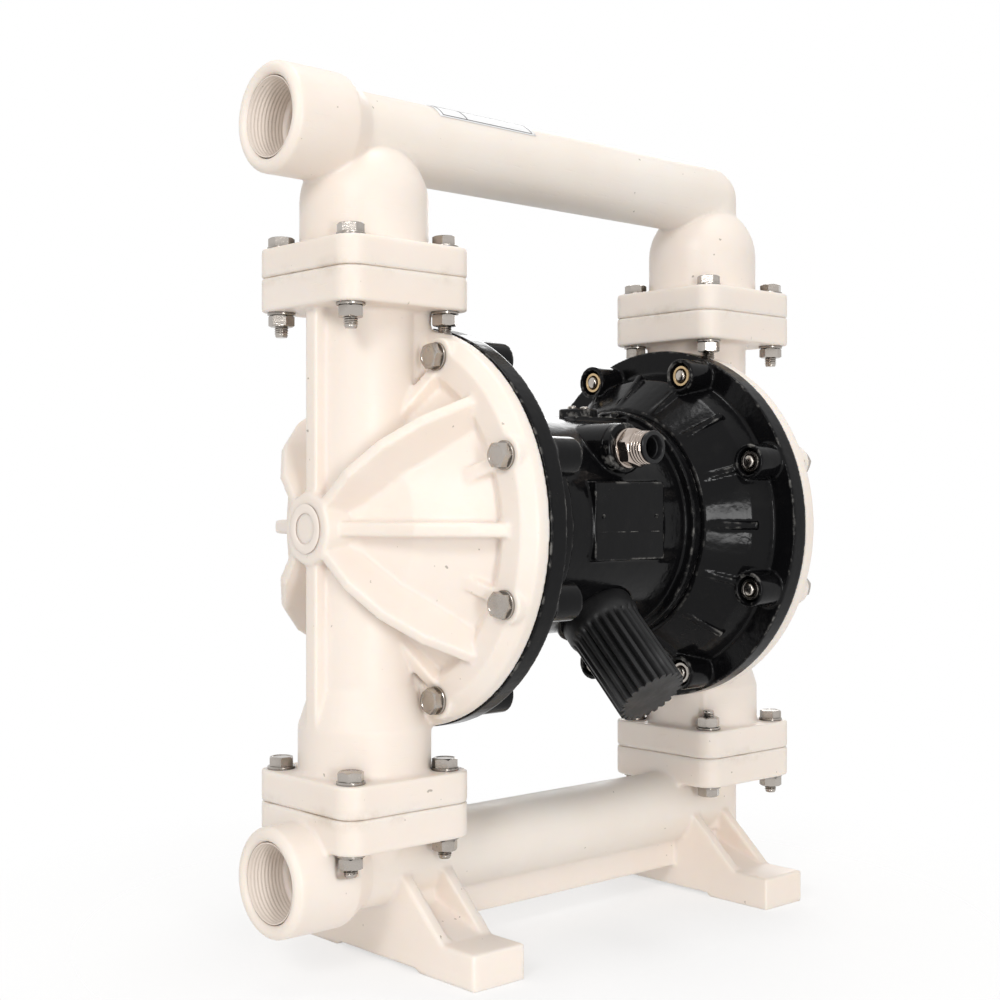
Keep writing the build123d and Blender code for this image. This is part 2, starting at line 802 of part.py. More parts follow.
# Air inlet fitting and the collar that releases the tube
with BuildPart() as air_inlet_fitting:
    with BuildSketch(front.offset(inlet_face_y)):
        with Locations((0, inlet_rise)):
            Circle(fitting_flange_r)
    extrude(amount=fitting_flange)
    with BuildSketch(front.offset(inlet_face_y + fitting_flange)):
        with Locations((0, inlet_rise)):
            RegularPolygon(fitting_hex / 2, 6, major_radius=False)
    extrude(amount=fitting_hex_long)
    with BuildSketch(front.offset(inlet_face_y + fitting_flange + fitting_hex_long)):
        with Locations((0, inlet_rise)):
            Circle(fitting_neck_r)
    extrude(amount=fitting_neck_long)
    with BuildSketch(front.offset(inlet_face_y)):
        with Locations((0, inlet_rise)):
            Circle(inlet_bore - running)
    extrude(amount=-fitting_thread)
    with BuildSketch(front.offset(collar_back_y - collar_travel - collar_play)):
        with Locations((0, inlet_rise)):
            Circle(collar_r + running)
    extrude(amount=fitting_neck_long, mode=Mode.SUBTRACT)
    with BuildSketch(front.offset(inlet_face_y - fitting_thread)):
        with Locations((0, inlet_rise)):
            Circle(fitting_bore)
    extrude(amount=fitting_thread + fitting_flange + fitting_hex_long + fitting_neck_long, mode=Mode.SUBTRACT)
save(air_inlet_fitting, "air_inlet_fitting")

with BuildPart() as release_collar:
    with BuildSketch(front.offset(collar_back_y)):
        with Locations((0, inlet_rise)):
            Circle(collar_r)
            Circle(collar_bore, mode=Mode.SUBTRACT)
    extrude(amount=collar_long)
save(release_collar, "release_collar")

# Pilot cover and gallery plug on the pad
with BuildPart() as pilot_cover:
    with Locations((mid_x + lug_x, pad_y, shaft_z + pad_z)):
        Box(lug_wide, lug_deep, lug_high, align=rising)
save(pilot_cover, "pilot_cover")

with BuildPart() as gallery_plug:
    with BuildSketch(plan.offset(shaft_z + pad_z)):
        with Locations((plug_x, pad_y)):
            RegularPolygon(plug_r, 6)
    extrude(amount=plug_high)
save(gallery_plug, "gallery_plug")

# Bolts of the four manifold joints: head above, nut and thread end below
with BuildPart() as flange_bolts:
    for side in (-1, 1):
        for low, high, stud in (
            (lower_joint - manifold_flange_low, lower_joint + cover_flange_low, stud_out),
            (upper_joint - cover_flange_top, upper_joint + manifold_flange_top, stud_out_top),
        ):
            with BuildSketch(plan.offset(high)):
                with Locations((side * column_x, 0)):
                    with GridLocations(flange_pitch, flange_pitch, 2, 2):
                        RegularPolygon(head_flats / 2, 6, major_radius=False, rotation=hex_turn)
            extrude(amount=head_high + washer_thick)
            with BuildSketch(plan.offset(low)):
                with Locations((side * column_x, 0)):
                    with GridLocations(flange_pitch, flange_pitch, 2, 2):
                        RegularPolygon(head_flats / 2, 6, major_radius=False, rotation=hex_turn)
            extrude(amount=-nut_high - washer_thick)
            with BuildSketch(plan.offset(high)):
                with Locations((side * column_x, 0)):
                    with GridLocations(flange_pitch, flange_pitch, 2, 2):
                        RegularPolygon(bolt_r, bolt_sides)
            extrude(amount=low - high - nut_high - washer_thick - stud)
save(flange_bolts, "flange_bolts")

# Bolts through both covers and air chambers, their nuts in the counterbores of the air chambers
with BuildPart() as cover_bolts:
    for side in (-1, 1):
        with BuildSketch(across.offset(side * rim_face_x)):
            with PolarLocations(bolt_circle_r, bolt_count, start_angle=180 / bolt_count):
                RegularPolygon(head_flats / 2, 6, major_radius=False)
        extrude(amount=side * (head_high + washer_thick))
        with BuildSketch(across.offset(side * rim_face_x)):
            with PolarLocations(bolt_circle_r, bolt_count, start_angle=180 / bolt_count):
                RegularPolygon(bolt_r, bolt_sides)
        extrude(amount=-side * (rim_face_x - boss_end_x - counterbore_deep))
save(cover_bolts, "cover_bolts")

with BuildPart() as cover_nuts:
    for side in (-1, 1):
        with BuildSketch(across.offset(side * (boss_end_x + counterbore_deep))):
            with PolarLocations(bolt_circle_r, bolt_count, start_angle=180 / bolt_count):
                RegularPolygon(head_flats / 2, 6, major_radius=False)
        extrude(amount=-side * (nut_high + washer_thick))
save(cover_nuts, "cover_nuts")
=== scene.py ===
"""Looks of the air operated diaphragm pump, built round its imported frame. Metres, +Z up."""

import json
import math

import bmesh
import bpy
from mathutils import Matrix, Vector


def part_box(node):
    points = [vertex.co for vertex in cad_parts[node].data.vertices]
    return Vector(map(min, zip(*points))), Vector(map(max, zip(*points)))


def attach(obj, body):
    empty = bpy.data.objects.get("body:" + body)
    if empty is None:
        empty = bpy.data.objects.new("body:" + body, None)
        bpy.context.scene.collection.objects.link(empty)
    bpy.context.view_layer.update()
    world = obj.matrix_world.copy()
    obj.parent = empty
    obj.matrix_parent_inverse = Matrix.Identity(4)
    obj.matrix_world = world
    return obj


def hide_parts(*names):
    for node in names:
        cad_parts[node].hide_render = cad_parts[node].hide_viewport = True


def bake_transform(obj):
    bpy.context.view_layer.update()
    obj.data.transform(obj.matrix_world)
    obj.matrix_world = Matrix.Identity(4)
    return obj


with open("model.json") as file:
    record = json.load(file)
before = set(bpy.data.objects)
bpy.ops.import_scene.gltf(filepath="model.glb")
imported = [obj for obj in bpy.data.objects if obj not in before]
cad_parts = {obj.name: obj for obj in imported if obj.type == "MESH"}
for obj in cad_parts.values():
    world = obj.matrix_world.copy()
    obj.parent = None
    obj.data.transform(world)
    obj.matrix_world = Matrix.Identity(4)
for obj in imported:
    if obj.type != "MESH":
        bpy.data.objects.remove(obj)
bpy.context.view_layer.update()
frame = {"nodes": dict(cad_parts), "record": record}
nodes = frame["nodes"]
scene = bpy.context.scene

MM = 0.001
AS_DRAWN = [Matrix.Identity(4)]  # the one place of a shape whose points are where they belong

WHITE = (0.88, 0.805, 0.74)
AGED_WHITE = (0.84, 0.75, 0.67)
SHADE_AND_GRIME = (0.36, 0.29, 0.21)
JOINT_GRIME = (0.42, 0.33, 0.23)
SPECK = (0.2, 0.16, 0.11)
BLACK = (0.004, 0.004, 0.0045)
DUST = (0.03, 0.029, 0.027)
BARE_METAL = (0.34, 0.33, 0.31)


# Materials


class Nodes:
    """A short way to add and join shader nodes."""

    def __init__(self, name):
        self.material = bpy.data.materials.new(name)
        self.material.use_nodes = True
        self.tree = self.material.node_tree
        self.shader = self.tree.nodes["Principled BSDF"]
        self.output = self.tree.nodes["Material Output"]

    def add(self, kind, inputs=None, **settings):
        node = self.tree.nodes.new(kind)
        for key, value in settings.items():
            setattr(node, key, value)
        for key, value in (inputs or {}).items():
            self.put(node.inputs[key], value)
        return node

    def put(self, socket, value):
        """Join a node's socket to this one, or set it."""
        if isinstance(value, bpy.types.NodeSocket):
            self.tree.links.new(value, socket)
        else:
            socket.default_value = value

    def noise(self, scale, detail=4.0, roughness=0.55, stretch=(1, 1, 1)):
        """Noise over the object's own coordinates."""
        place = self.add("ShaderNodeTexCoord").outputs["Object"]
        scaled = self.add("ShaderNodeMapping", {"Vector": place, "Scale": stretch}).outputs["Vector"]
        texture = self.add(
            "ShaderNodeTexNoise",
            {"Vector": scaled, "Scale": scale, "Detail": detail, "Roughness": roughness},
        )
        return texture.outputs["Fac"]

    def ramp(self, value, low, high, start=0.0, end=1.0):
        """Value between low and high as start to end, clamped."""
        spread = self.add(
            "ShaderNodeMapRange",
            {"Value": value, "From Min": low, "From Max": high, "To Min": start, "To Max": end},
        )
        return spread.outputs["Result"]

    def mix(self, factor, first, second):
        """Colours or a colour and a socket, mixed."""
        mixed = self.add("ShaderNodeMix", data_type="RGBA")
        self.put(mixed.inputs["Factor"], factor)
        self.put(mixed.inputs["A"], first)
        self.put(mixed.inputs["B"], second)
        return mixed.outputs["Result"]

    def math(self, operation, first, second):
        """Two values put through one operation."""
        result = self.add("ShaderNodeMath", operation=operation)
        self.put(result.inputs[0], first)
        self.put(result.inputs[1], second)
        return result.outputs["Value"]

    def height(self):
        """How high a point stands over the floor."""
        place = self.add("ShaderNodeTexCoord").outputs["Object"]
        return self.add("ShaderNodeSeparateXYZ", {"Vector": place}).outputs["Z"]

    def near_height(self, level, reach):
        """One at a height, falling to nothing at reach above and below it."""
        gap = self.math("ABSOLUTE", self.math("SUBTRACT", self.height(), level), 0.0)
        return self.ramp(gap, 0.0, reach, 1.0, 0.0)

    def bump(self, height, strength, distance):
        """Relief on the surface."""
        settings = {"Height": height, "Strength": strength, "Distance": distance}
        relief = self.add("ShaderNodeBump", settings)
        self.put(self.shader.inputs["Normal"], relief.outputs["Normal"])


joint_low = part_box("fluid_cover_left")[0].z
joint_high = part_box("fluid_cover_left")[1].z


def moulded_plastic(name, translucent):
    """Ivory polypropylene: translucent or not, satin, with painted shade and patchy grime in corners,
    and grime at the joints.
    """
    m = Nodes(name)
    cloud = m.noise(9.0, 5.0)
    tone = m.mix(m.ramp(cloud, 0.35, 0.7), (*WHITE, 1), (*AGED_WHITE, 1))
    # Painted shade and patchy grime: the colour darkens in noise patches where corners are occluded
    corner = m.add("ShaderNodeAmbientOcclusion", {"Distance": 0.005}, samples=8).outputs["AO"]
    patches = m.ramp(m.noise(38.0, 6.0), 0.5, 0.68)
    shade_and_grime = m.math("MULTIPLY", m.ramp(corner, 0.8, 0.35), patches)
    tone = m.mix(m.math("MULTIPLY", shade_and_grime, 0.6), tone, (*SHADE_AND_GRIME, 1))
    for level in (joint_low, joint_high):
        band = m.near_height(level, 0.007)
        smear = m.math("MULTIPLY", band, m.ramp(m.noise(24.0, 7.0, 0.7), 0.5, 0.68))
        tone = m.mix(m.math("MULTIPLY", smear, 0.5), tone, (*JOINT_GRIME, 1))
    specks = m.ramp(m.noise(210.0, 2.0, 0.4), 0.76, 0.79)
    tone = m.mix(m.math("MULTIPLY", specks, 0.6), tone, (*SPECK, 1))
    m.put(m.shader.inputs["Base Color"], tone)
    m.put(m.shader.inputs["Roughness"], m.ramp(m.noise(26.0), 0.3, 0.7, 0.36, 0.52))
    m.put(m.shader.inputs["Subsurface Weight"], translucent)
    m.put(m.shader.inputs["Subsurface Radius"], (1.0, 0.75, 0.5))
    m.put(m.shader.inputs["Subsurface Scale"], 0.007)
    m.put(m.shader.inputs["IOR"], 1.49)
    scratch = m.ramp(m.noise(90.0, 3.0, 0.5, (1, 1, 9)), 0.64, 0.7)
    wave = m.math("ADD", m.math("MULTIPLY", m.noise(16.0, 2.0), 0.7), m.math("MULTIPLY", scratch, -0.15))
    m.bump(wave, 0.35, 0.0012)
    return m.material


def black_paint():
    """Gloss black paint over cast aluminium: ripples, dust and worn edges."""
    m = Nodes("black paint")
    dust = m.ramp(m.noise(60.0, 6.0), 0.56, 0.75)
    tone = m.mix(m.math("MULTIPLY", dust, 0.15), (*BLACK, 1), (*DUST, 1))
    edge = m.add("ShaderNodeNewGeometry").outputs["Pointiness"]
    worn = m.math("MULTIPLY", m.ramp(edge, 0.51, 0.55), m.ramp(m.noise(150.0, 5.0), 0.52, 0.66))
    tone = m.mix(m.math("MULTIPLY", worn, 0.5), tone, (*BARE_METAL, 1))
    m.put(m.shader.inputs["Base Color"], tone)
    m.put(m.shader.inputs["Roughness"], m.ramp(m.noise(34.0), 0.3, 0.7, 0.09, 0.2))
    m.put(m.shader.inputs["Specular IOR Level"], 0.12)
    peel = m.math("ADD", m.math("MULTIPLY", m.noise(230.0, 3.0), 0.3), m.noise(48.0, 3.0))
    m.bump(peel, 0.45, 0.0008)
    return m.material


def plain_metal(name, colour, rough, stain):
    """Bare metal with fine brushing, dents, tarnish, and painted shade in its corners."""
    m = Nodes(name)
    tarnish = m.ramp(m.noise(70.0, 6.0), 0.45, 0.75)
    tone = m.mix(m.math("MULTIPLY", tarnish, 0.6), (*colour, 1), (*stain, 1))
    # Painted shade: the colour darkens where the corners are occluded
    corner = m.add("ShaderNodeAmbientOcclusion", {"Distance": 0.006}, samples=8).outputs["AO"]
    corner_shade = tuple(0.3 * part for part in stain)
    tone = m.mix(m.ramp(corner, 0.85, 0.3, 0.0, 0.85), tone, (*corner_shade, 1))
    m.put(m.shader.inputs["Base Color"], tone)
    m.put(m.shader.inputs["Metallic"], 1.0)
    brushed = m.ramp(m.noise(140.0, 5.0), 0.3, 0.7, rough * 0.7, rough * 1.4)
    m.put(m.shader.inputs["Roughness"], brushed)
    m.bump(m.noise(300.0, 4.0, 0.6, (1, 1, 4)), 0.25, 0.0004)
    return m.material


def plain_matt(name, colour, rough, shine=0.5):
    """Matt rubber or plastic with dust and a fine grain."""
    m = Nodes(name)
    dust = m.ramp(m.noise(55.0, 6.0), 0.5, 0.78)
    pale = tuple(min(1.0, 0.8 * part + 0.03) for part in colour)
    tone = m.mix(m.math("MULTIPLY", dust, 0.5), (*colour, 1), (*pale, 1))
    m.put(m.shader.inputs["Base Color"], tone)
    m.put(m.shader.inputs["Roughness"], m.ramp(m.noise(90.0), 0.3, 0.7, rough - 0.08, rough + 0.08))
    m.put(m.shader.inputs["Specular IOR Level"], shine)
    m.bump(m.noise(420.0, 3.0), 0.3, 0.0003)
    return m.material


finishes = {
    "white_plastic": moulded_plastic("moulded plastic", 0.4),
    "thin_plastic": moulded_plastic("thin plastic", 0.0),
    "black_paint": black_paint(),
    "stainless": plain_metal("stainless", (0.44, 0.405, 0.37), 0.2, (0.24, 0.21, 0.18)),
    "black_rubber": plain_matt("black rubber", (0.02, 0.02, 0.02), 0.7),
    "steel": plain_metal("ground steel", (0.62, 0.62, 0.62), 0.18, (0.4, 0.38, 0.36)),
    "plate_metal": plain_metal("plate metal", (0.72, 0.72, 0.74), 0.35, (0.5, 0.5, 0.5)),
    "ball_plastic": plain_matt("ball plastic", (0.85, 0.84, 0.8), 0.45),
    "muffler_plastic": plain_matt("muffler plastic", (0.008, 0.008, 0.0085), 0.5, 0.35),
    "nickel": plain_metal("nickel", (0.50, 0.43, 0.38), 0.12, (0.28, 0.22, 0.18)),
    "collar_plastic": plain_matt("collar plastic", (0.008, 0.008, 0.009), 0.36, 0.25),
    "brass": plain_metal("yellow zinc", (0.60, 0.44, 0.25), 0.26, (0.38, 0.26, 0.14)),
    "paper": plain_matt("paper", (0.84, 0.85, 0.86), 0.4),
    "ink": plain_matt("ink", (0.05, 0.05, 0.055), 0.5),
}
for part in frame["record"]["subparts"]:
    obj = nodes[part["node"]]
    obj.data.materials.clear()
    obj.data.materials.append(finishes[part["material_slot"]])


# Soft edges of mouldings and castings


def soften(obj, grain, passes):
    """Round every edge and corner of a moulded piece a little."""
    remesh = obj.modifiers.new("skin", "REMESH")
    remesh.mode = "VOXEL"
    remesh.voxel_size = grain
    remesh.use_smooth_shade = True
    smooth = obj.modifiers.new("soft", "SMOOTH")
    smooth.factor = 0.5
    smooth.iterations = passes


grain = 0.0012
for name in ("discharge_manifold", "suction_manifold", "fluid_cover_left", "fluid_cover_right"):
    soften(nodes[name], grain, 5)
for name in ("air_chamber_left", "air_chamber_right", "centre_body"):
    soften(nodes[name], grain * 0.75, 4)


# Turned, hexagonal and threaded shapes, as rings of points along their own +Z


def ring(radius, height, count=48):
    """A circle of points; radius may be a function of the angle."""
    points = []
    for step in range(count):
        turn = 2 * math.pi * step / count
        reach = radius(turn) if callable(radius) else radius
        points.append((reach * math.cos(turn), reach * math.sin(turn), height))
    return points


def turned(profile, count=48):
    """Rings of a turned piece, from radii and heights in millimetres."""
    return [ring(radius * MM, height * MM, count) for radius, height in profile]


def raised(rings, height):
    """The same rings further up."""
    return [[(x, y, z + height) for x, y, z in points] for points in rings]


def hexagon(flats):
    """The radius of a hexagon at an angle."""
    return lambda turn: flats / 2 / math.cos((turn + math.pi / 6) % (math.pi / 3) - math.pi / 6)


def chamfered(flats, height, low=False, count=72):
    """Rings of a hexagonal head whose corners are turned off at the top and, if low, below."""
    wide = hexagon(flats)
    circle = 0.96 * flats / 2
    fall = math.tan(math.radians(30))
    outer = ring(wide, 0, count)
    bottom = [(x, y, fall * max(0.0, math.hypot(x, y) - circle) if low else 0.0) for x, y, z in outer]
    top = [(x, y, height - fall * max(0.0, math.hypot(x, y) - circle)) for x, y, z in outer]
    rings = [ring(circle, 0, count)] if low else []
    return rings + [bottom, top, ring(circle, height, count)]


def skin(rings, closed=True):
    """Points and faces of rings joined one to the next, the first and last closed."""
    count = len(rings[0])
    points = [point for points in rings for point in points]
    faces = []
    for row in range(len(rings) - 1):
        for step in range(count):
            after = (step + 1) % count
            low, high = row * count, (row + 1) * count
            faces.append((low + step, low + after, high + after, high + step))
    if closed:
        faces.append(tuple(reversed(range(count))))
        faces.append(tuple(range((len(rings) - 1) * count, len(rings) * count)))
    return points, faces


def thread(radius, depth, pitch, start, length, inside=False, turns_each=40, rows_each=8):
    """A helical V thread as a band round +Z, its crests at radius, fading at both ends."""
    rows = max(4, int(length / pitch * rows_each))
    rings = []
    for row in range(rows + 1):
        along = length * row / rows
        fade = min(1.0, along / pitch, (length - along) / pitch)
        points = []
        for step in range(turns_each):
            share = (along / pitch - step / turns_each) % 1.0
            crest = 1 - abs(2 * share - 1)
            cut = depth * (1 - crest * fade)
            reach = radius + cut if inside else radius - cut
            turn = 2 * math.pi * step / turns_each
            points.append((reach * math.cos(turn), reach * math.sin(turn), start + along))
        rings.append(points)
    return rings


def place(direction, origin, turn=0.0):
    """The frame of a piece: its +Z along direction, turned about it."""
    aim = Vector(direction).to_track_quat("Z", "Y").to_matrix().to_4x4()
    return Matrix.Translation(origin) @ aim @ Matrix.Rotation(turn, 4, "Z")


def build(name, shapes, places, finish, body="housing", sharp=35):
    """One object from shapes, each repeated at every place."""
    points = []
    faces = []
    for where in places:
        for shape_points, shape_faces in shapes:
            first = len(points)
            points += [where @ Vector(point) for point in shape_points]
            faces += [tuple(first + corner for corner in face) for face in shape_faces]
    data = bpy.data.meshes.new(name)
    data.from_pydata(points, [], faces)
    mesh = bmesh.new()
    mesh.from_mesh(data)
    bmesh.ops.recalc_face_normals(mesh, faces=mesh.faces)
    mesh.to_mesh(data)
    mesh.free()
    data.materials.append(finishes[finish])
    data.shade_smooth()
    data.set_sharp_from_angle(angle=math.radians(sharp))
    obj = bpy.data.objects.new(name, data)
    scene.collection.objects.link(obj)
    if body:
        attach(obj, body)
    return obj


def middle_of(node):
    """The middle of a CAD node's box."""
    low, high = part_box(node)
    return (low + high) / 2


# Bolts, nuts and washers

BOLT = 4.0 * MM
FLATS = 13.0 * MM
HEAD = 5.3 * MM
WASHER = 1.6 * MM
NUT = 6.5 * MM
PITCH = 1.25 * MM


def washer(inner, outer, thick):
    """A flat washer with broken edges."""
    edge = 0.25 * MM
    rings = [
        ring(inner, 0),
        ring(outer - edge, 0),
        ring(outer, edge),
        ring(outer, thick - edge),
        ring(outer - edge, thick),
        ring(inner, thick),
        ring(inner, 0),
    ]
    return skin(rings, closed=False)


def bolt_head(base):
    """A chamfered head over its washer face, standing at base."""
    face = ring(0.46 * FLATS, base - 0.4 * MM, 72)
    dish = [ring(0.42 * FLATS, base + HEAD, 72), ring(0.40 * FLATS, base + HEAD - 0.25 * MM, 72)]
    return skin([face] + raised(chamfered(FLATS, HEAD), base) + dish)


def nut(base):
    """A nut chamfered on both faces."""
    return skin(raised(chamfered(FLATS, NUT, low=True), base))


def stud(base, length):
    """A threaded bolt end with a chamfered tip."""
    rings = thread(BOLT, 0.5 * MM, PITCH, base, length - 0.8 * MM)
    rings.append(ring(BOLT - 0.9 * MM, base + length, 40))
    return skin(rings)


SHORT_END = 5.5 * MM
LONG_END = 7.0 * MM
column_gap = 33.0 * MM
bolt_low, bolt_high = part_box("flange_bolts")
left_column = bolt_low.x + FLATS / 2 + column_gap
right_column = bolt_high.x - FLATS / 2 - column_gap
# The lower and upper face of each joint that a washer lies on, and how far the source's bolts stand out
joints = {
    "low": (joint_low - 19.3 * MM, joint_low + 18.1 * MM, 4.5 * MM),
    "high": (joint_high - 19.2 * MM, joint_high + 16.6 * MM, 2.0 * MM),
}
UPSIDE_DOWN = 5  # the nearest bolt of the far lower joint, fitted the other way up
heads, nuts, top_nuts = [], [], []
number = 0
for under, over, out in joints.values():
    for column in (left_column, right_column):
        for x in (-column_gap, column_gap):
            for y in (-column_gap, column_gap):
                number += 1
                spot = Vector((column + x, y, 0))
                top, bottom = Vector((0, 0, over)), Vector((0, 0, under))
                if number == UPSIDE_DOWN:
                    heads.append(place((0, 0, -1), spot + bottom))
                    nuts.append(place((0, 0, 1), spot + top))
                    continue
                heads.append(place((0, 0, 1), spot + top, number * 2.3))
                tails = nuts if out > 3 * MM else top_nuts
                tails.append(place((0, 0, -1), spot + bottom, number * 1.7))
flat = washer(BOLT + 0.2 * MM, 8.0 * MM, WASHER)
flange_heads = build("flange_bolt_heads", [flat, bolt_head(WASHER)], heads, "stainless")
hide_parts("flange_bolts")
end_base = WASHER + NUT - 1 * MM
build("flange_nuts", [flat, nut(WASHER), stud(end_base, SHORT_END)], nuts, "stainless")
build("upper_flange_nuts", [flat, nut(WASHER), stud(end_base, LONG_END)], top_nuts, "stainless")

# Bolts round the covers; each one's domed tip stands in a round nut down in its counterbore

BOLT_CIRCLE = 104.0 * MM
COVER_BOLTS = 8
YELLOW = (1, 2)  # the two upper bolts of each side that have a yellow nut
axis_z = middle_of("shaft").z
axis_x = middle_of("shaft").x
rim_low, rim_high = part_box("cover_bolts")
rim_face = (rim_high.x - rim_low.x) / 2 - HEAD - WASHER
nut_low, nut_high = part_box("cover_nuts")
nut_face = (nut_high.x - nut_low.x) / 2
rim_heads, tips, grey_nuts, gold_nuts = [], [], [], []
for side in (-1, 1):
    outward = Vector((side, 0, 0))
    for step in range(COVER_BOLTS):
        turn = 2 * math.pi * (step + 0.5) / COVER_BOLTS
        spot = Vector((axis_x, BOLT_CIRCLE * math.cos(turn), axis_z + BOLT_CIRCLE * math.sin(turn)))
        rim_heads.append(place(outward, spot + outward * rim_face, step * 1.9 + side))
        tip = place(-outward, spot + outward * nut_face, step * 2.7)
        tips.append(tip)
        (gold_nuts if step in YELLOW else grey_nuts).append(tip)
cover_heads = build("cover_bolt_heads", [flat, bolt_head(WASHER)], rim_heads, "stainless")
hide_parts("cover_bolts")
tip_rings = [(3.9, 3.0), (3.9, 5.9), (3.5, 6.5), (2.7, 6.9), (1.4, 7.1)]
domed_tip = skin(turned(tip_rings))
cover_tips = build("cover_bolt_tips", [domed_tip], tips, "stainless")
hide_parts("cover_nuts")
nut_rings = [(4.1, 0.0), (6.9, 0.0), (6.9, 4.8), (6.4, 5.3), (5.0, 5.3), (4.5, 4.9), (4.1, 4.3)]
round_nut = skin(turned(nut_rings + nut_rings[:1]), closed=False)
build("cover_round_nuts", [round_nut], grey_nuts, "stainless")
build("upper_cover_round_nuts", [round_nut], gold_nuts, "brass")

# Balls

BALL_ROWS = 24
slopes = [math.pi * row / BALL_ROWS for row in range(1, BALL_ROWS)]
for node in ("suction_ball_left", "suction_ball_right", "discharge_ball_left", "discharge_ball_right"):
    low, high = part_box(node)
    reach = (high.z - low.z) / 2
    shape = skin([ring(reach * math.sin(slope), -reach * math.cos(slope)) for slope in slopes])
    spot = place((0, 0, 1), (low + high) / 2)
    ball = build(f"{node}_smooth", [shape], [spot], "ball_plastic", node, 80)
    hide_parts(node)

# Diaphragms: sectors clamped at the rim, flat under the plates and rolled between the plates and the rim

SECTORS = 12
SECTOR_STEPS = 6
SECTOR_WIDTH = 2 * math.pi / SECTORS
# Radii and roll in millimetres
HOLE_R = 8.4
PLATE_R = 45.0
HELD_R = 86.5
ROLL = 2.5
WEB = [HOLE_R, 20.0, 32.0, PLATE_R] + [PLATE_R + 3.2 * step for step in range(1, 14)] + [91.0, 97.9]


def diaphragm_loop(turn, side, low, high):
    """The outline of a cut through the diaphragm at an angle about the shaft."""
    points = []
    for x, radii in ((low.x, WEB), (high.x, WEB[::-1])):
        for r in radii:
            share = min(1.0, max(0.0, (r - PLATE_R) / (HELD_R - PLATE_R)))
            bulge = side * ROLL * MM * math.sin(math.pi * share) ** 2
            points.append((x + bulge, r * MM * math.cos(turn), axis_z + r * MM * math.sin(turn)))
    return points


for side, node in ((-1, "diaphragm_left"), (1, "diaphragm_right")):
    low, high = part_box(node)
    for number in range(SECTORS):
        first = 2 * math.pi * number / SECTORS
        turns = [first + SECTOR_WIDTH * step / SECTOR_STEPS for step in range(SECTOR_STEPS + 1)]
        shape = skin([diaphragm_loop(turn, side, low, high) for turn in turns])
        sector = build(f"{node}_sector_{number}", [shape], AS_DRAWN, "black_rubber", None)
        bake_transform(sector)
        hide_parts(node)

# Threads in both ports

PORT_R = 21.3 * MM
PORT_WALL_R = 21.95 * MM
PORT_DEPTH = 0.24 * MM
PORT_PITCH = 2.309 * MM
PORT_START = 2.4 * MM
PORT_LENGTH = 23.4 * MM
PORT_COUNT = 96
port_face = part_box("discharge_manifold")[0].x
upper_pipe_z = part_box("discharge_manifold")[1].z - 30.5 * MM
lower_pipe_z = joint_low - 36.7 * MM
for node, pipe_z in (("discharge_manifold", upper_pipe_z), ("suction_manifold", lower_pipe_z)):
    rows = thread(PORT_R, PORT_DEPTH, PORT_PITCH, PORT_START, PORT_LENGTH, True, PORT_COUNT, 10)
    rows.append(ring(PORT_WALL_R, PORT_START + PORT_LENGTH, PORT_COUNT))
    rows.append(ring(PORT_WALL_R, PORT_START, PORT_COUNT))
    rows.append(rows[0])
    spot = place((1, 0, 0), Vector((port_face, 0, pipe_z)))
    port_thread = build(f"{node}_thread", [skin(rows, closed=False)], [spot], "thin_plastic", sharp=60)

# Muffler: flat-topped flutes that run out into a plain collar

FLUTES = 24
muffler_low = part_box("muffler")[0]
MUFFLER_R = 22.0 * MM
slant = math.sqrt(0.5)
muffler_end = Vector(
    (middle_of("muffler").x, muffler_low.y + MUFFLER_R * slant, muffler_low.z + MUFFLER_R * slant)
)


def fluted(radius, depth):
    """A circle with V grooves cut into it."""

    def reach(turn):
        share = abs((turn * FLUTES / (2 * math.pi)) % 1.0 - 0.5) * 2
        return radius - depth * max(0.0, 1 - share / 0.62)

    return reach


# Radius, height and depth of the flutes, in millimetres

profile = (
    (17.6, 0.0, 0.0),
    (21.5, 0.0, 3.3),
    (22.0, 0.5, 3.3),
    (22.0, 26.0, 3.0),
    (22.2, 50.0, 2.6),
    (22.5, 52.3, 1.4),
    (22.8, 53.3, 0.0),
    (23.4, 55.0, 0.0),
    (23.6, 56.5, 0.0),
    (23.5, 64.0, 0.0),
    (22.8, 66.0, 0.0),
    (12.0, 66.0, 0.0),
)
rings = [ring(fluted(r * MM, deep * MM), high * MM, FLUTES * 12) for r, high, deep in profile]
muffler_spot = place((0, 1, 1), muffler_end)
muffler = build("fluted_muffler", [skin(rings)], [muffler_spot], "muffler_plastic", sharp=40)
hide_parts("muffler")
pip = skin(turned([(0.9, 0), (0.8, -0.35), (0.2, -0.45)]))
pip_spot = place((0, 1, 1), muffler_end + Vector((0, 1, 1)) * 0.4 * MM)
build("muffler_gate_mark", [pip], [pip_spot], "muffler_plastic")

# Air inlet fitting and its release collar

inlet = middle_of("air_inlet_fitting")
inlet.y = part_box("air_inlet_fitting")[0].y + 18.6 * MM
facing = place((0, -1, 0), inlet, 0.26)
HEX = 21.0 * MM
COUNT = 72
lip = [(12.3, -0.5), (15.3, -0.5), (15.3, 4.4), (14.6, 5.2), (13.2, 5.6), (12.3, 5.6), (12.3, -0.5)]
build("inlet_boss_lip", [skin(turned(lip, COUNT), closed=False)], [facing], "black_paint")
shank = [(9.0, -10), (9.0, 1), (11.8, 1), (12.2, 5.6), (12.0, 7.8), (11.4, 8.2)]
ridges = [
    (r - 0.12 * ridge, 16.2 + 2.1 * ridge + rise)
    for ridge in range(4)
    for r, rise in ((9.6, 0.0), (10.2, 0.5), (10.2, 1.3), (9.6, 1.8))
]
front = [(9.7, 24.4), (9.3, 24.7), (9.1, 24.7), (8.95, 24.4), (8.95, 15.35), (6.1, 15.3), (6.1, -10.0)]
rings = turned(shank, COUNT)
rings += raised(chamfered(HEX, 7.6 * MM, low=True, count=COUNT), 8.2 * MM)
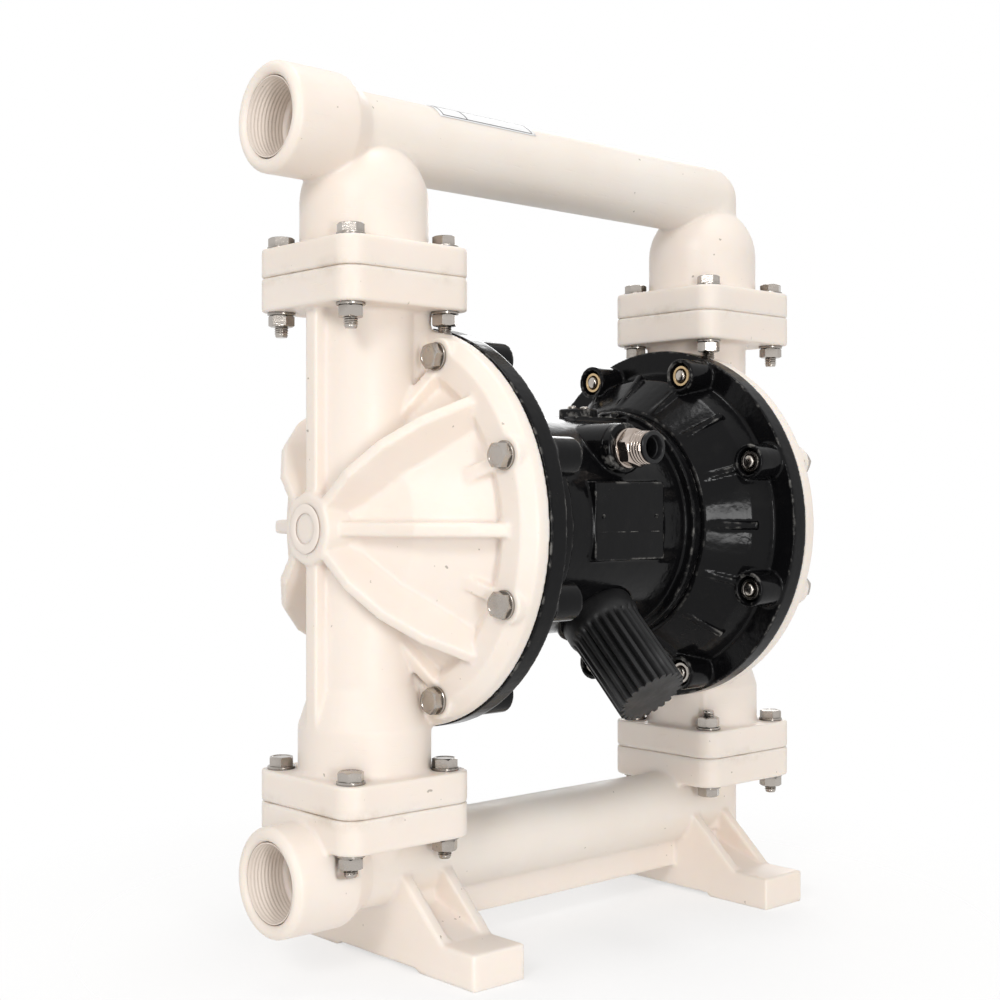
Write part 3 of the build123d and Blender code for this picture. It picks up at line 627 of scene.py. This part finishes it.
rings += turned(ridges + front, COUNT)
rings.append(rings[0])
fitting = build("inlet_fitting", [skin(rings, closed=False)], [facing], "nickel")
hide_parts("air_inlet_fitting")

# Radius in millimetres, and height along the fitting

collar_low, collar_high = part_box("release_collar")
collar_back = inlet.y - collar_high.y
collar_front = inlet.y - collar_low.y
collar_rings = (
    (6.25, collar_back),
    (8.7, collar_back),
    (8.7, collar_front - 1.5 * MM),
    (9.9, collar_front - 1.3 * MM),
    (10.0, collar_front - 0.8 * MM),
    (9.6, collar_front - 0.2 * MM),
    (8.9, collar_front),
    (7.4, collar_front),
    (6.9, collar_front - 0.8 * MM),
    (6.7, collar_front - 3.5 * MM),
    (6.25, collar_front - 4.0 * MM),
    (6.25, collar_back),
)
collar_shape = skin([ring(r * MM, rise, COUNT) for r, rise in collar_rings], closed=False)
collar = build("grip_collar", [collar_shape], [facing], "collar_plastic", "collar")
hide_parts("release_collar")

# Pieces on the pad: a lug held by two screws and a round plug


def slab(low, high, edge):
    """A box with chamfered upper edges."""
    corners = ((0, 0), (1, 0), (1, 1), (0, 1))
    rings = []
    for height, inset in ((low.z, 0), (high.z - edge, 0), (high.z, edge)):
        ends = (low.x + inset, high.x - inset)
        sides = (low.y + inset, high.y - inset)
        rings.append([(ends[a], sides[b], height) for a, b in corners])
    return skin(rings)


lug_low, lug_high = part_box("pilot_cover")
lug = build("lug", [slab(lug_low, lug_high, 0.8 * MM)], AS_DRAWN, "black_paint", sharp=20)
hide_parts("pilot_cover")
screw = skin(turned([(2.8, 0), (2.8, 0.9), (2.2, 1.6), (1.5, 1.8), (1.4, 0.6)]))
lug_middle = middle_of("pilot_cover")
screw_spots = [
    place((0, 0, 1), Vector((lug_middle.x + x * MM, lug_middle.y, lug_high.z))) for x in (-5.5, 5.5)
]
build("lug_screws", [screw], screw_spots, "stainless")
plug_low, plug_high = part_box("gallery_plug")
plug_r = (plug_high.x - plug_low.x) / 2
plug_rings = [
    ring(plug_r, 0),
    ring(plug_r, 2.4 * MM),
    ring(plug_r * 0.8, 3.7 * MM),
    ring(plug_r * 0.5, 4 * MM),
    ring(hexagon(5 * MM), 4 * MM),
    ring(hexagon(4.6 * MM), 1.5 * MM),
]
plug_foot = middle_of("gallery_plug")
plug_foot.z = plug_low.z
plug = build("plug", [skin(plug_rings)], [place((0, 0, 1), plug_foot)], "black_paint")
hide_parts("gallery_plug")

# Panel pins and edge line, a ring moulded on each hub, and the bare paper label with its ruled border

panel_y = -69.5 * MM
pin = skin(turned([(1.5, 0), (1.4, 0.35), (0.8, 0.7)]))
pin_spots = [place((0, -1, 0), Vector((axis_x + x * MM, panel_y, axis_z + 6 * MM))) for x in (-23, 23)]
build("panel_pins", [pin], pin_spots, "black_paint")
line_low = Vector((axis_x - 29 * MM, panel_y - 0.25 * MM, axis_z - 3.4 * MM))
line_high = Vector((axis_x + 29 * MM, panel_y + 0.5 * MM, axis_z - 2.9 * MM))
build("panel_line", [slab(line_low, line_high, 0.1 * MM)], AS_DRAWN, "black_paint")

hub_ring = [(8.6, -0.3), (13.8, -0.3), (13.0, 0.2), (12.0, 0.3), (10.4, 0.3), (9.4, 0.2), (8.6, -0.3)]
hub_shape = skin(turned(hub_ring, 64), closed=False)
hub_reach = 40.3 * MM
hub_spots = [
    place((-1, 0, 0), Vector((left_column - hub_reach, 0, axis_z))),
    place((1, 0, 0), Vector((right_column + hub_reach, 0, axis_z))),
]
build("hub_rings", [hub_shape], hub_spots, "thin_plastic")

PIPE_R = 23.5 * MM
LABEL_REACH = PIPE_R + 0.3 * MM
BORDER_REACH = PIPE_R + 0.42 * MM


def on_pipe(start, end, low, high, reach):
    """A patch that follows the upper pipe, between two places along it and two angles up its side."""
    along = max(1, round((end - start) / 3))
    around = max(1, round((high - low) / 3))
    points = []
    faces = []
    for a in range(along + 1):
        for b in range(around + 1):
            lift = math.radians(low + (high - low) * b / around)
            x = axis_x + (start + (end - start) * a / along) * MM
            points.append((x, -reach * math.cos(lift), upper_pipe_z + reach * math.sin(lift)))
    for a in range(along):
        for b in range(around):
            first = a * (around + 1) + b
            faces.append((first, first + 1, first + around + 2, first + around + 1))
    return points, faces


label = build("blank_label", [on_pipe(-106, -30, 37, 77, LABEL_REACH)], AS_DRAWN, "paper")
ruled = (
    (-103.5, -32.5, 40.0, 41.4),
    (-103.5, -32.5, 72.6, 74.0),
    (-103.5, -102.9, 41.4, 72.6),
    (-85.0, -84.4, 41.4, 72.6),
    (-33.1, -32.5, 41.4, 72.6),
)
border = build("label_border", [on_pipe(*line, BORDER_REACH) for line in ruled], AS_DRAWN, "ink")
for sheet in (label, border):
    thick = sheet.modifiers.new("thick", "SOLIDIFY")
    thick.thickness = 0.1 * MM


# Light, floor and camera


def area_light(name, spot, aim, wide, high, power):
    """A soft white light that faces a point."""
    data = bpy.data.lights.new(name, "AREA")
    data.shape = "RECTANGLE"
    data.size = wide
    data.size_y = high
    data.energy = power
    light = bpy.data.objects.new(name, data)
    light.location = spot
    light.rotation_euler = (Vector(aim) - Vector(spot)).to_track_quat("-Z", "Y").to_euler()
    scene.collection.objects.link(light)


middle = (0.0, 0.0, 0.27)
area_light("key", (-1.4, -0.7, 1.0), middle, 0.4, 0.4, 7)
area_light("front", (-0.65, -1.45, 0.27), middle, 0.22, 0.6, 7.5)
area_light("top", (0.1, -0.1, 1.9), middle, 0.6, 0.4, 6)
area_light("back", (1.2, 0.9, 0.9), middle, 0.5, 0.9, 5)


def background_seen(tree):
    """One for rays from the camera and for mirrored and passing rays, else nothing."""
    path = tree.nodes.new("ShaderNodeLightPath")
    seen = path.outputs["Is Camera Ray"]
    for name in ("Is Glossy Ray", "Is Transmission Ray"):
        either = tree.nodes.new("ShaderNodeMath")
        either.operation = "MAXIMUM"
        tree.links.new(seen, either.inputs[0])
        tree.links.new(path.outputs[name], either.inputs[1])
        seen = either.outputs["Value"]
    return seen


world = bpy.data.worlds.new("studio")
scene.world = world
world.use_nodes = True
tree = world.node_tree
tree.nodes.clear()
out = tree.nodes.new("ShaderNodeOutputWorld")
white = tree.nodes.new("ShaderNodeBackground")
white.inputs["Color"].default_value = (1, 1, 1, 1)
white.inputs["Strength"].default_value = 1.0
lit = tree.nodes.new("ShaderNodeBackground")
lit.inputs["Color"].default_value = (1, 0.98, 0.96, 1)
lit.inputs["Strength"].default_value = 0.64
blend = tree.nodes.new("ShaderNodeMixShader")
tree.links.new(background_seen(tree), blend.inputs["Fac"])
tree.links.new(lit.outputs["Background"], blend.inputs[1])
tree.links.new(white.outputs["Background"], blend.inputs[2])
tree.links.new(blend.outputs["Shader"], out.inputs["Surface"])


FLOOR_R = 0.6
FLOOR_COUNT = 64
FADE_START = 0.12
FADE_END = 0.42


def floor_finish():
    """White floor that fades to nothing away from the pump."""
    m = Nodes("floor")
    place_node = m.add("ShaderNodeTexCoord").outputs["Object"]
    away = m.add("ShaderNodeVectorMath", operation="LENGTH")
    m.put(away.inputs[0], place_node)
    clear = m.ramp(away.outputs["Value"], FADE_START, FADE_END)
    plain = m.add("ShaderNodeBsdfDiffuse", {"Color": (0.98, 0.98, 0.98, 1)})
    glow = m.add("ShaderNodeEmission", {"Color": (1, 1, 1, 1), "Strength": 1.0})
    pale = m.add("ShaderNodeMixShader", {"Fac": m.math("MULTIPLY", background_seen(m.tree), 0.6)})
    m.tree.links.new(plain.outputs["BSDF"], pale.inputs[1])
    m.tree.links.new(glow.outputs["Emission"], pale.inputs[2])
    through = m.add("ShaderNodeBsdfTransparent")
    mixed = m.add("ShaderNodeMixShader", {"Fac": clear})
    m.tree.links.new(pale.outputs["Shader"], mixed.inputs[1])
    m.tree.links.new(through.outputs["BSDF"], mixed.inputs[2])
    m.tree.links.new(mixed.outputs["Shader"], m.output.inputs["Surface"])
    return m.material


data = bpy.data.meshes.new("floor")
data.from_pydata(ring(FLOOR_R, 0, FLOOR_COUNT), [], [tuple(range(FLOOR_COUNT))])
data.materials.append(floor_finish())
floor = bpy.data.objects.new("floor", data)
scene.collection.objects.link(floor)

# The camera was solved from the photograph

data = bpy.data.cameras.new("camera")
data.sensor_width = 36
data.lens = 55.66
data.shift_y = -0.0016
camera = bpy.data.objects.new("camera", data)
camera.location = (-0.6682, -0.7044, 0.2633)
camera.rotation_euler = (math.radians(90), 0, -math.atan2(0.6702, 0.7421))
scene.collection.objects.link(camera)
scene.camera = camera
scene.render.resolution_x = 1000
scene.render.resolution_y = 1000
scene.view_settings.view_transform = "Standard"
